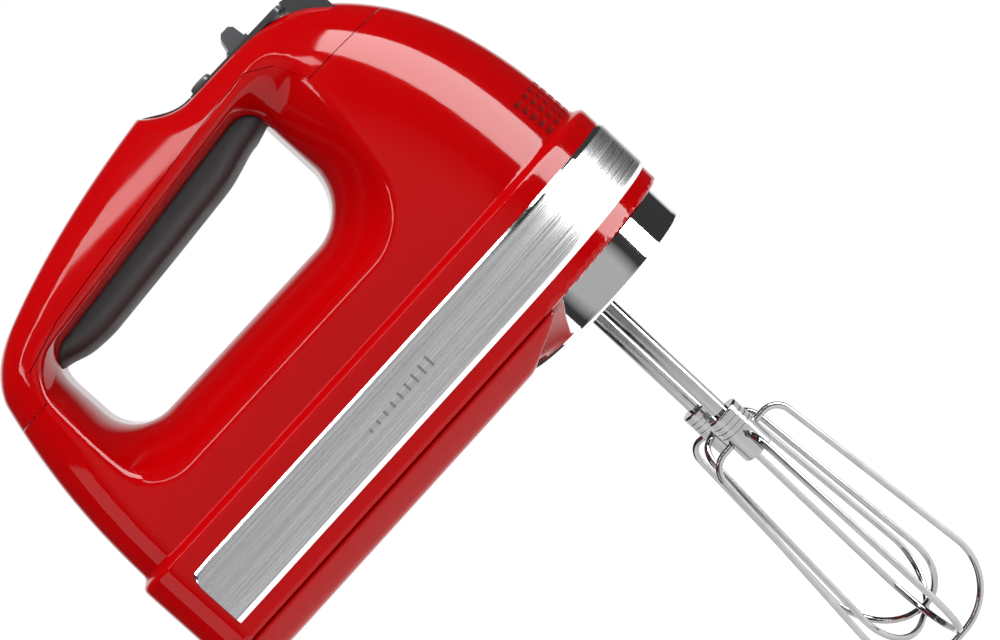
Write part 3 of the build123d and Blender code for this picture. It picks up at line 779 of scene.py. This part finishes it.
# ------------------------------------------------------------------ eject spring
def make_spring():
    """Coil under the eject yoke."""
    low, high = SPRING_LOW + SPRING_WIRE_R + 0.05, SPRING_HIGH - SPRING_WIRE_R - 0.05
    steps, sides = SPRING_STEPS, SPRING_SIDES
    verts = []
    for i in range(steps + 1):
        turn = 2 * math.pi * SPRING_TURNS * i / steps
        z = low + (high - low) * i / steps
        for k in range(sides):
            around = 2 * math.pi * k / sides
            reach = SPRING_R + SPRING_WIRE_R * math.cos(around)
            verts.append((SPRING_X + reach * math.cos(turn), reach * math.sin(turn),
                          z + SPRING_WIRE_R * math.sin(around)))
    faces = [tuple(reversed(range(sides))), tuple(steps * sides + k for k in range(sides))]
    for i in range(steps):
        for k in range(sides):
            n = (k + 1) % sides
            faces.append((i * sides + k, (i + 1) * sides + k, (i + 1) * sides + n, i * sides + n))
    spring = add_piece("eject_coil", verts, [face[::-1] for face in faces], STEEL, "eject_spring")
    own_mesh(spring)


# ------------------------------------------------------------------ carried-over pieces
NODE_LOOKS = {
    "red_gloss": RED, "steel_band": BRUSHED, "chrome": CHROME, "bright_wire": WIRE,
    "grip_rubber": RUBBER, "dark_plastic": DARK, "button_plastic": BUTTON, "lens": LENS,
    "black_plastic": BLACK, "zinc": ZINC, "steel": STEEL, "bronze": BRONZE, "copper": COPPER,
    "laminations": IRON, "nylon": NYLON, "board": BOARD, "carbon": BLACK,
}


def dress_nodes():
    """Gives every CAD node the material of its slot."""
    slots = {part["node"]: part["material_slot"] for part in frame["record"]["subparts"]}
    for name, node in frame["nodes"].items():
        look = NODE_LOOKS[slots[name]]
        for place in node.material_slots:
            place.link = "OBJECT"
            place.material = look


# ------------------------------------------------------------------ studio
def make_floor():
    """Large pale floor, below the beaters even when they are pulled out."""
    z = float(cad_box[0][2]) / MM + GRIP[2] - BEATER_PULL - EJECT_TRAVEL - FLOOR_GAP
    size = FLOOR_SIZE
    verts = [(-size, -size, z), (size, -size, z), (size, size, z), (-size, size, z)]
    mesh = bpy.data.meshes.new("floor")
    mesh.from_pydata(to_frame(verts).tolist(), [], [(0, 1, 2, 3)])
    made, tree, shader = material("pale_floor", (0.9, 0.9, 0.9), 0.6)
    colour = tint(tree, noise(tree, 3.0), (0.95, 0.95, 0.95), (0.98, 0.98, 0.98))
    tree.links.new(colour, shader.inputs["Base Color"])
    mesh.materials.append(made)
    floor = bpy.data.objects.new("floor", mesh)
    bpy.context.scene.collection.objects.link(floor)


def area_light(name, place, width, height, power, glints, fills):
    """Softbox at a place in drawing millimetres, aimed at the mixer."""
    data = bpy.data.lights.new(name, "AREA")
    data.shape = "RECTANGLE"
    data.size, data.size_y = width, height
    data.energy = power
    lamp = bpy.data.objects.new(name, data)
    place, aim = Vector(to_frame(place)), Vector(to_frame(LAMP_AIM))
    lamp.location = place
    lamp.rotation_euler = (aim - place).to_track_quat("-Z", "Y").to_euler()
    lamp.visible_glossy = glints
    lamp.visible_diffuse = fills
    bpy.context.scene.collection.objects.link(lamp)


def make_world():
    """White for the camera; reflections see it bright behind and in front, and dark at the sides."""
    world = bpy.data.worlds.new("studio")
    world.use_nodes = True
    tree = world.node_tree
    place = tree.nodes.new("ShaderNodeTexCoord")
    split = tree.nodes.new("ShaderNodeSeparateXYZ")
    shift = tree.nodes.new("ShaderNodeMapRange")
    shift.inputs["From Min"].default_value = -1.0
    ramp = tree.nodes.new("ShaderNodeValToRGB")
    stops = ((0.0, FRONT_LIGHT), (0.05, FRONT_LIGHT), (0.13, SIDE_LIGHT), (0.88, SIDE_LIGHT),
             (0.94, BACKDROP))
    while len(ramp.color_ramp.elements) < len(stops):
        ramp.color_ramp.elements.new(0.5)
    for element, (place_on_ramp, level) in zip(ramp.color_ramp.elements, stops):
        element.position = place_on_ramp
        element.color = (level, level, level, 1)
    path = tree.nodes.new("ShaderNodeLightPath")
    seen = tree.nodes.new("ShaderNodeMix")
    seen.data_type = "RGBA"
    seen.inputs["B"].default_value = (BACKDROP, BACKDROP, BACKDROP, 1)
    tree.links.new(place.outputs["Generated"], split.inputs["Vector"])
    tree.links.new(split.outputs["Y"], shift.inputs["Value"])
    tree.links.new(shift.outputs["Result"], ramp.inputs["Fac"])
    tree.links.new(path.outputs["Is Camera Ray"], seen.inputs["Factor"])
    tree.links.new(ramp.outputs["Color"], seen.inputs["A"])
    tree.links.new(seen.outputs["Result"], tree.nodes["Background"].inputs["Color"])
    bpy.context.scene.world = world


def make_studio():
    """World, soft fills that leave no glints, and softboxes and a strip for the highlights."""
    make_world()
    data = bpy.data.lights.new("fill", "SUN")
    data.energy = FILL
    data.angle = math.radians(FILL_SPREAD)
    fill = bpy.data.objects.new("fill", data)
    fill.rotation_euler = [math.radians(turn) for turn in FILL_TURNS]
    fill.visible_glossy = False
    bpy.context.scene.collection.objects.link(fill)
    for lamp in LAMPS:
        area_light(*lamp)


def make_camera():
    """Camera at the mixer's right side, rolled so that the nose points up and to the right."""
    turn, rise, roll = (math.radians(v) for v in (CAMERA_TURN, CAMERA_RISE, CAMERA_ROLL))
    back = Vector((math.sin(turn) * math.cos(rise), -math.cos(turn) * math.cos(rise), math.sin(rise)))
    right = Vector((math.cos(turn), math.sin(turn), 0))
    up = back.cross(right)
    x_axis = right * math.cos(roll) - up * math.sin(roll)
    y_axis = right * math.sin(roll) + up * math.cos(roll)
    data = bpy.data.cameras.new("camera")
    data.lens = CAMERA_LENS
    data.sensor_width = 36.0
    data.clip_start = 0.01
    camera = bpy.data.objects.new("camera", data)
    turned = Matrix((x_axis, y_axis, back)).transposed().to_4x4()
    camera.matrix_world = Matrix.Translation(Vector(to_frame(CAMERA_PLACE))) @ turned
    bpy.context.scene.collection.objects.link(camera)
    bpy.context.scene.camera = camera


make_camera()
dress_nodes()
make_casings()
make_vent_shade_sheet()
make_panel_tail()
make_grip()
make_band()
make_marks()
make_collar()
make_spring()
make_floor()
make_studio()
bpy.context.scene.view_settings.view_transform = "Standard"
